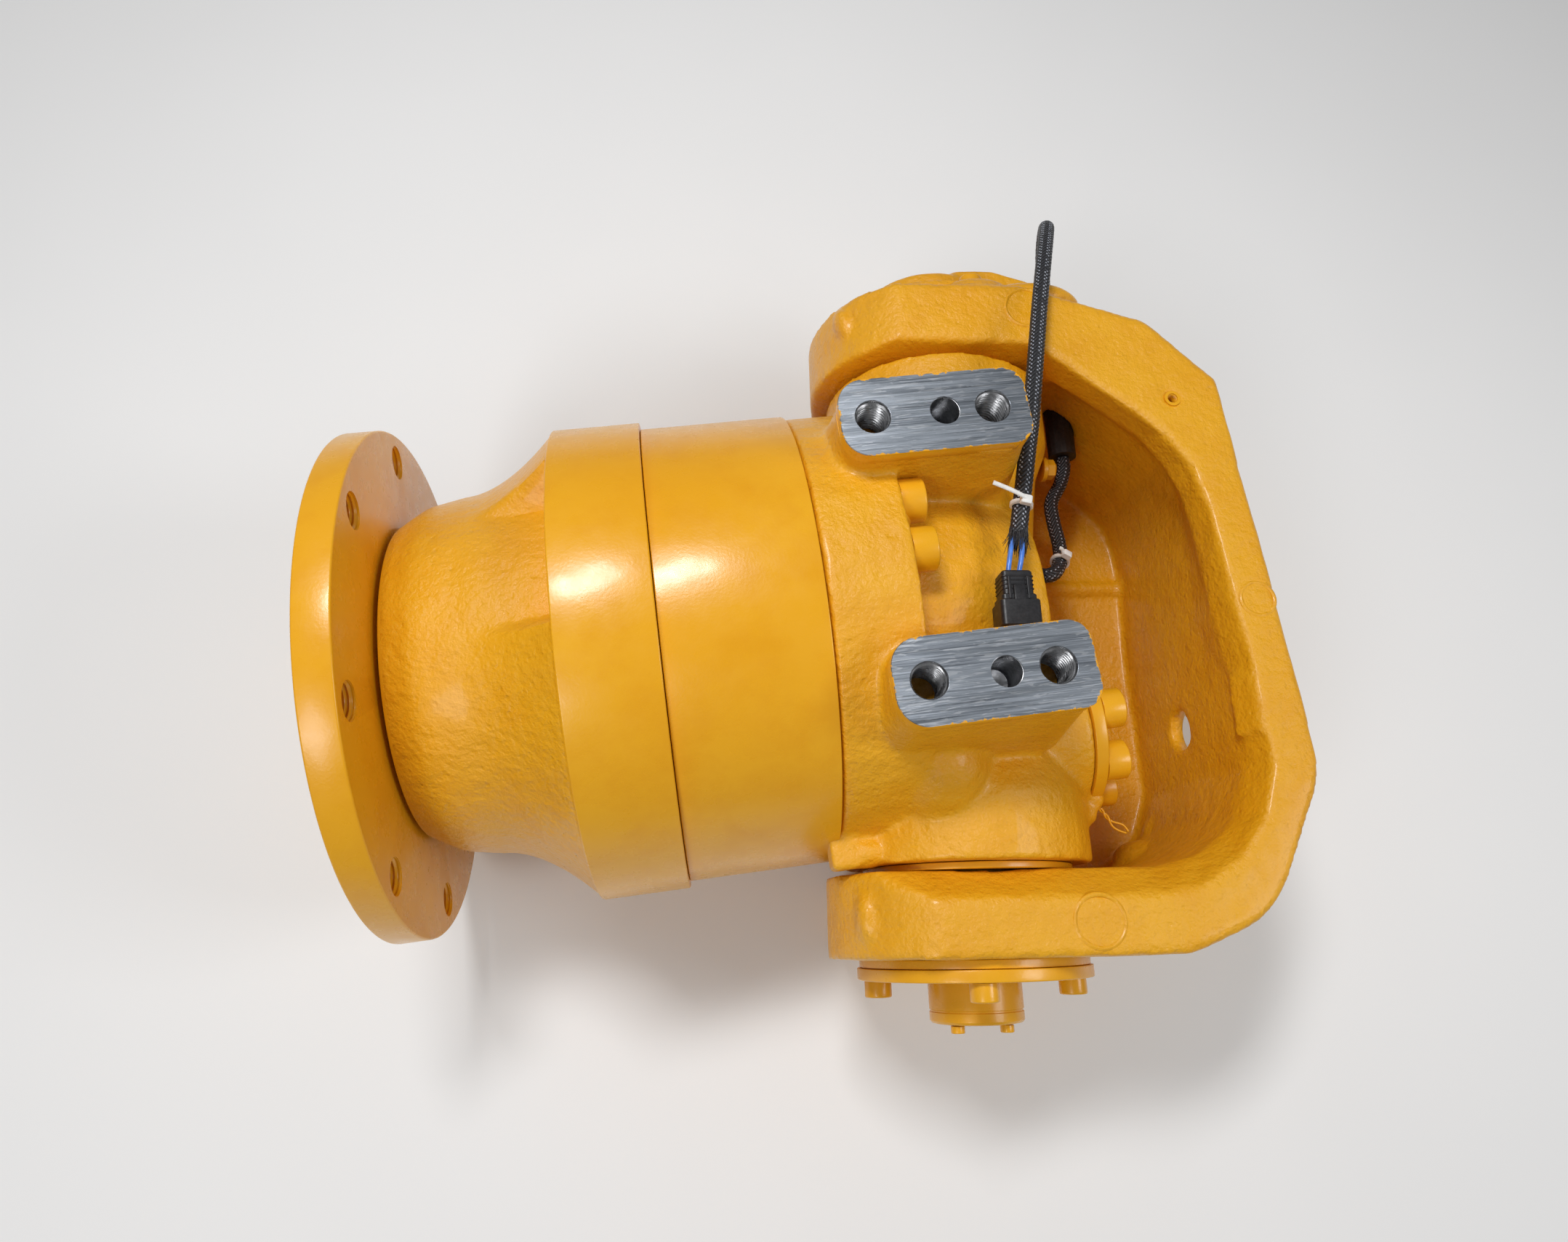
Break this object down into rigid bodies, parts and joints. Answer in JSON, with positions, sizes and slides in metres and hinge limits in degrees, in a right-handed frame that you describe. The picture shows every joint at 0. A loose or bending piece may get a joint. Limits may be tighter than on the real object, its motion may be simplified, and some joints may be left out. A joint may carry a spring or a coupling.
{
  "type": "hydraulic wheel motor with steering yoke",
  "caption": "Low-speed hydraulic wheel motor with a drilled wheel flange, on a steering knuckle held between two kingpins of a C-shaped cast yoke, with a sleeved sensor lead.",
  "frame": {"origin": "centre of the wheel flange's outer face, on the motor axis", "axes": "+X along the motor axis from the wheel flange to the yoke, +Y close to the kingpin axis (which leans 6.6 degrees from +Y towards +X), +Z towards the steering pads"},
  "size_m": [0.5398, 0.5125, 0.31],
  "materials": {
    "yellow_paint": "gloss",
    "bright_steel": "milled",
    "cast_iron": "matte",
    "rubber": "matte",
    "black_braid": "braided",
    "black_plastic": "moulded",
    "blue_insulation": "smooth",
    "white_nylon": "moulded"
  },
  "bodies": {
    "yoke": {"lead_grommet": "rubber", "lower_cap_bolt_1": "yellow_paint", "lower_cap_bolt_2": "yellow_paint", "lower_cap_bolt_3": "yellow_paint", "lower_cap_bolt_4": "yellow_paint", "lower_cap_shim": "yellow_paint", "lower_kingpin_bearing": "bright_steel", "lower_kingpin_cap": "yellow_paint", "lower_kingpin_seal": "rubber", "sensor_screw_1": "yellow_paint", "sensor_screw_2": "yellow_paint", "steering_sensor_housing": "yellow_paint", "upper_cap_bolt_1": "yellow_paint", "upper_cap_bolt_2": "yellow_paint", "upper_cap_bolt_3": "yellow_paint", "upper_cap_bolt_4": "yellow_paint", "upper_kingpin_bearing": "bright_steel", "upper_kingpin_cap": "yellow_paint", "upper_kingpin_seal": "rubber", "yoke": "yellow_paint"},
    "knuckle": {"bearing_housing": "yellow_paint", "bleed_plug": "yellow_paint", "cam_ring": "yellow_paint", "connector": "black_plastic", "distributor": "bright_steel", "front_shaft_bearing": "bright_steel", "knuckle": "yellow_paint", "lead_cable_tie": "white_nylon", "main_bolt_1": "yellow_paint", "main_bolt_2": "yellow_paint", "main_bolt_3": "yellow_paint", "main_bolt_4": "yellow_paint", "main_bolt_5": "yellow_paint", "main_bolt_6": "yellow_paint", "port_cover": "yellow_paint", "port_cover_bolt_1": "yellow_paint", "port_cover_bolt_2": "yellow_paint", "port_cover_bolt_3": "yellow_paint", "port_cover_bolt_4": "yellow_paint", "port_cover_bolt_5": "yellow_paint", "port_cover_bolt_6": "yellow_paint", "rear_shaft_bearing": "bright_steel", "sensor_lead_inner": "black_braid", "sensor_lead_outer": "black_braid", "shaft_lip_seal": "rubber", "signal_wire_1": "blue_insulation", "signal_wire_2": "blue_insulation", "speed_sensor": "black_plastic"},
    "wheel": {"cylinder_block": "cast_iron", "drive_shaft": "yellow_paint", "piston_1": "bright_steel", "piston_2": "bright_steel", "piston_3": "bright_steel", "piston_4": "bright_steel", "piston_5": "bright_steel", "piston_roller_1": "bright_steel", "piston_roller_2": "bright_steel", "piston_roller_3": "bright_steel", "piston_roller_4": "bright_steel", "piston_roller_5": "bright_steel"}
  },
  "joints": [
    {"name": "steer", "type": "hinge", "parent": "yoke", "child": "knuckle", "pos_m": [0.357, 0, 0], "axis": [0.1149, 0.9934, 0], "range_deg": [-30, 30], "deforming": ["sensor_lead_inner", "sensor_lead_outer"]},
    {"name": "wheel_spin", "type": "hinge", "parent": "knuckle", "child": "wheel", "pos_m": [0, 0, 0], "axis": [1, 0, 0], "continuous": true}
  ]
}
